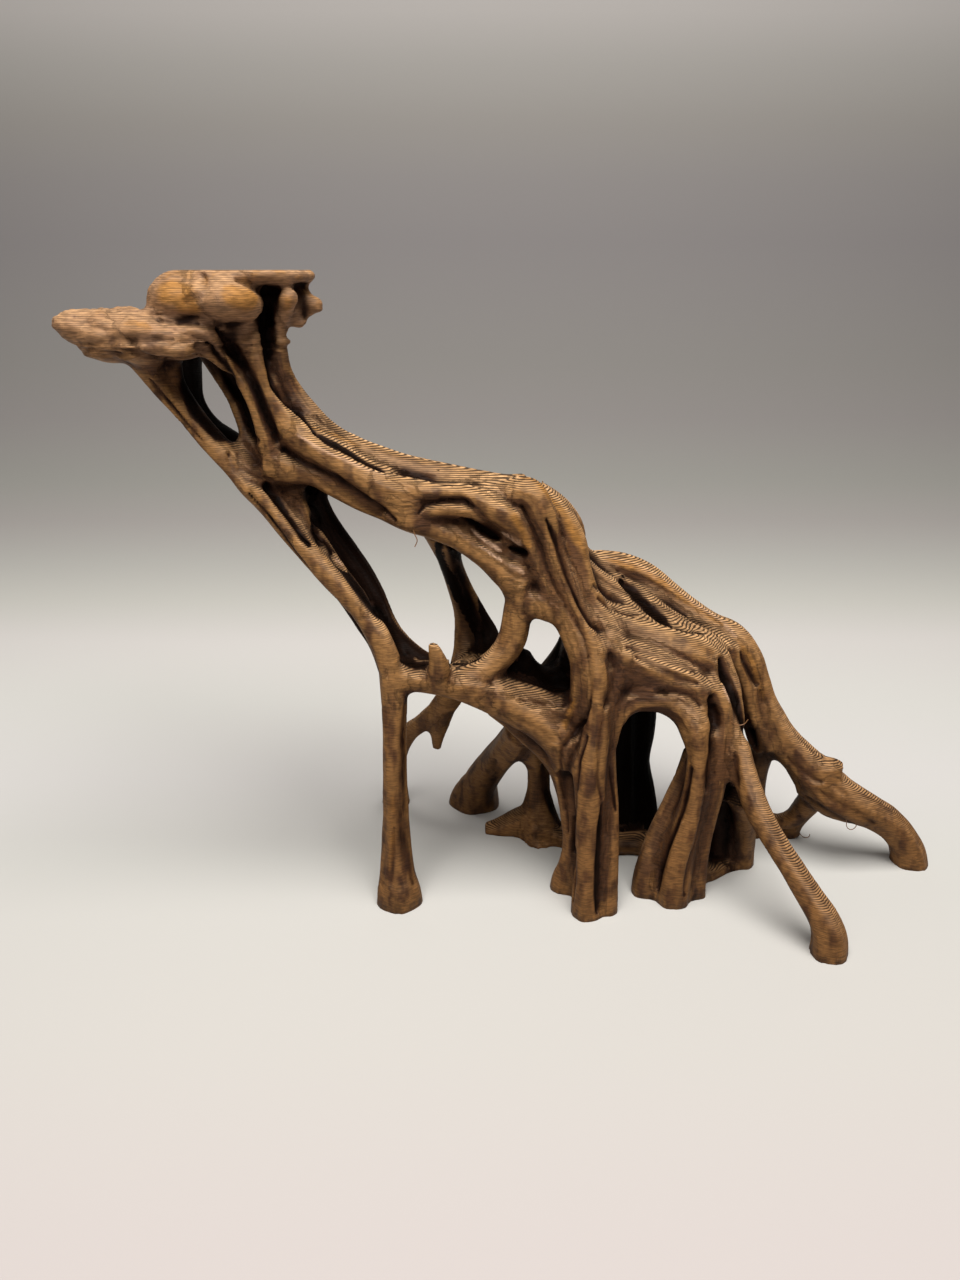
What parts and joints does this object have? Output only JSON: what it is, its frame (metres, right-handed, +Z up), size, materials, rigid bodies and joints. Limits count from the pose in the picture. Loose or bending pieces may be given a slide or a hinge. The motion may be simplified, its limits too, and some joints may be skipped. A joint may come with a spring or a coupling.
{
  "type": "mangrove root model",
  "caption": "Printed model of a mangrove's stilt roots: flat ledges on a leaning trunk that arches over a hump and spreads into roots standing on small flat feet.",
  "frame": {"origin": "on the ground, under the middle of the root's bounding box", "axes": "+X from the ledges towards the long right root, +Y away from the pictured side, +Z up"},
  "size_m": [0.2528, 0.0975, 0.18],
  "materials": {
    "printed_plastic": "matte wood-brown printed plastic with fine layer steps, dark stain in the grooves and ochre dry-brushed high spots"
  },
  "bodies": {
    "root": {"mangrove_root": "printed_plastic"}
  },
  "joints": []
}
